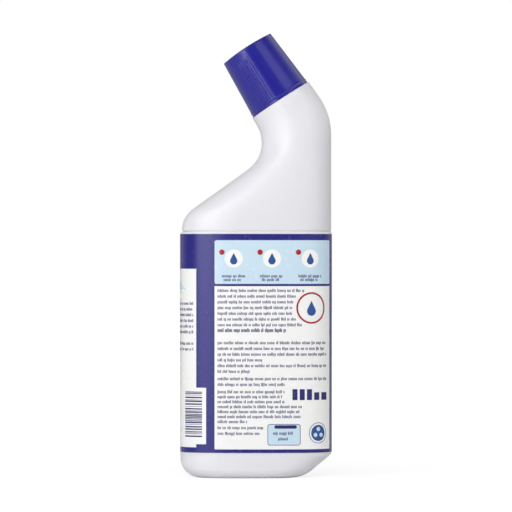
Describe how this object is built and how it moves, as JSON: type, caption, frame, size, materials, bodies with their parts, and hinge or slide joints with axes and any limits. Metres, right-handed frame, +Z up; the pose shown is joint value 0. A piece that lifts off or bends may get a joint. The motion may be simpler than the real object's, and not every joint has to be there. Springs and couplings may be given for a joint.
{
  "type": "toilet cleaner bottle",
  "caption": "Bent-neck bottle for thick toilet cleaner: oval white body with a wrap-around label, slanted foot at the back, and a tapered blue screw cap on a leaning neck.",
  "frame": {"origin": "middle of the whole bottle's footprint, on the surface that it stands on", "axes": "+Z up, -X towards the spout that leans forward, -Y towards the side with the small print"},
  "size_m": [0.0912, 0.0568, 0.2656],
  "materials": {
    "bottle_plastic": "white high-density polyethylene, satin, blow-moulded",
    "insert_plastic": "natural low-density polyethylene, satin",
    "cap_plastic": "blue polypropylene, semi-gloss",
    "foam": "closed-cell polyethylene foam",
    "label_indigo": "printed film, semi-gloss",
    "print_white": "white ink on film",
    "print_pale_blue": "pale blue ink on film",
    "print_dark": "dark violet ink on film",
    "print_red": "red ink on film",
    "print_blue": "blue ink on film"
  },
  "bodies": {
    "bottle_body": {"bottle": "bottle_plastic", "spout_insert": "insert_plastic", "label_film": "label_indigo", "print_white": "print_white", "print_pale": "print_pale_blue", "print_dark": "print_dark", "print_red": "print_red", "print_blue": "print_blue"},
    "liner": {"cap_liner": "foam"},
    "cap_body": {"cap": "cap_plastic"}
  },
  "joints": [
    {"name": "cap_rise", "type": "slide", "parent": "bottle_body", "child": "liner", "axis": [-0.5446, 0, 0.8387], "range_m": [0, 0.0063]},
    {"name": "cap_turn", "type": "hinge", "parent": "liner", "child": "cap_body", "pos_m": [0.0147, 0, 0.2258], "axis": [-0.5446, 0, 0.8387], "range_deg": [0, 540]}
  ],
  "couplings": [
    {"joint": "cap_rise", "follows": "cap_turn", "m_per_rad": 0.00066845}
  ]
}
